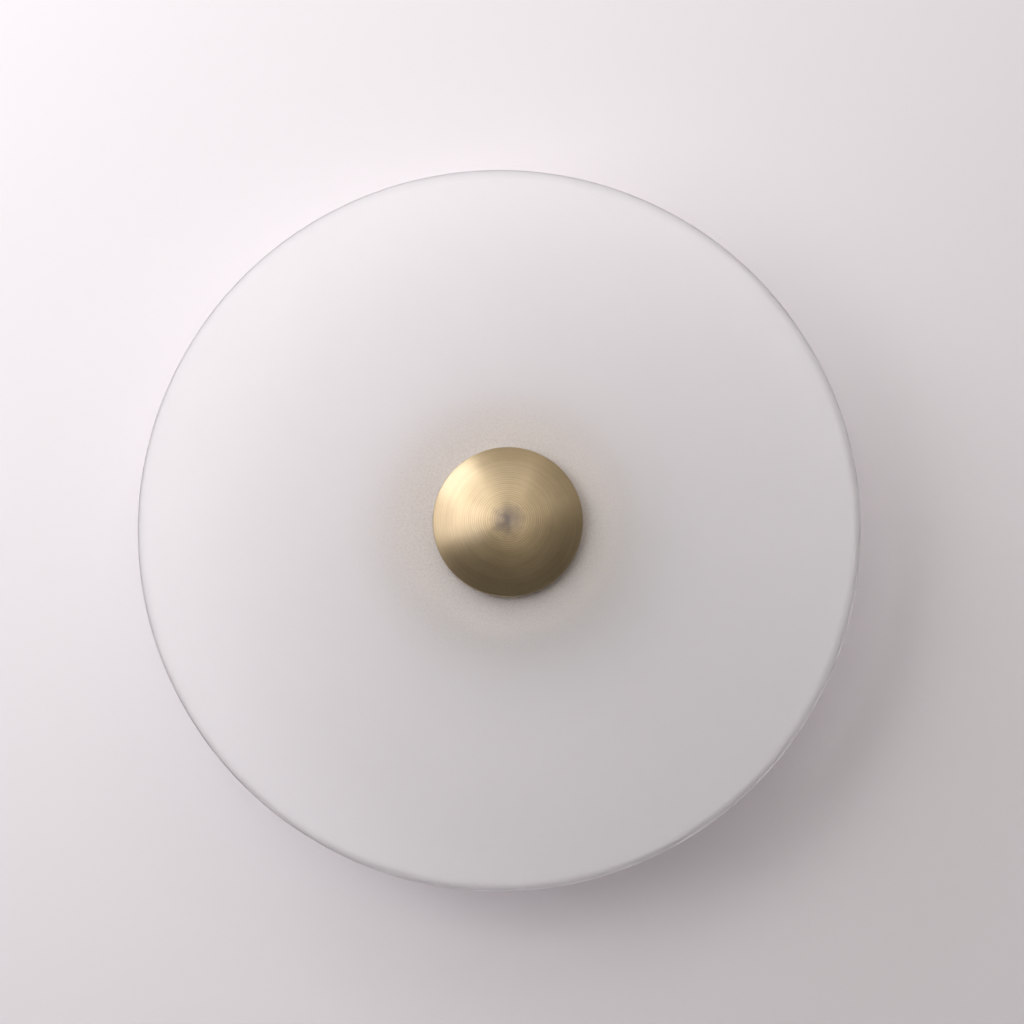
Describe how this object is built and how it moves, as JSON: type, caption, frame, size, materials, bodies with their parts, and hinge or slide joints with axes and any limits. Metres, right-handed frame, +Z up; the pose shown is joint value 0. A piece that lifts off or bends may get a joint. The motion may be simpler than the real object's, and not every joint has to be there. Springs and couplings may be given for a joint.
{
  "type": "wall sconce",
  "caption": "Wall sconce: a frosted glass disc clamped by a domed brass knob in front of a round brass canopy with a ring of light.",
  "frame": {"origin": "centre of the wall plate's back face, on the wall", "axes": "+Z up, +Y into the wall; the lamp stands out along -Y, and its front is seen looking along +Y"},
  "size_m": [0.3, 0.0688, 0.2998],
  "materials": {
    "frosted_glass": "acid-etched white, satin on both faces and round the ground edge",
    "aged_brass": "brushed in rings on a lathe, then aged to a soft bronze tint",
    "bright_brass": "plain turned",
    "zinc_steel": "zinc plated, dull",
    "spool_aluminium": "turned, natural",
    "clear_silicone": "milky, matt",
    "black_rubber": "matt",
    "white_nylon": "moulded, fine grain",
    "opal_acrylic": "opal white, satin",
    "strip_film": "white solder mask on a flexible strip",
    "chip_phosphor": "yellow phosphor in a white cup",
    "brown_insulation": "extruded, smooth",
    "blue_insulation": "extruded, smooth",
    "green_insulation": "extruded, green with a yellow stripe",
    "red_insulation": "extruded, smooth",
    "black_insulation": "extruded, smooth"
  },
  "bodies": {
    "fixture": {"wall_plate": "zinc_steel", "rod_boss": "zinc_steel", "threaded_rod": "zinc_steel", "lock_washer": "zinc_steel", "lock_nut": "zinc_steel", "plate_screws": "zinc_steel", "earth_screw": "bright_brass", "earth_tag": "zinc_steel", "cable_grommet": "black_rubber", "terminal_block": "white_nylon", "terminal_barrels": "bright_brass", "terminal_screws": "zinc_steel", "driver_case": "white_nylon", "driver_lid": "white_nylon", "live_lead": "brown_insulation", "neutral_lead": "blue_insulation", "earth_lead": "green_insulation", "strip_lead_plus": "red_insulation", "strip_lead_minus": "black_insulation", "canopy": "aged_brass", "canopy_screws": "aged_brass", "lead_grommet": "black_rubber", "led_spool": "spool_aluminium", "spool_screws": "zinc_steel", "led_strip": "strip_film", "led_chips": "chip_phosphor", "diffuser_ring": "opal_acrylic", "cap_plate": "aged_brass", "collar_nut": "aged_brass"},
    "shade": {"rear_gasket": "clear_silicone", "centring_sleeve": "white_nylon", "glass_disc": "frosted_glass", "front_gasket": "clear_silicone"},
    "cap": {"domed_knob": "aged_brass"}
  },
  "joints": [
    {"name": "glass_slide", "type": "slide", "parent": "fixture", "child": "shade", "axis": [0, -1, 0], "range_m": [0, 0.008]},
    {"name": "knob_turn", "type": "hinge", "parent": "shade", "child": "cap", "pos_m": [0, -0.0538, 0], "axis": [0, -1, 0], "range_deg": [0, 2880]}
  ],
  "couplings": [
    {"joint": "knob_turn", "follows": "glass_slide", "rad_per_m": 6283.2}
  ]
}
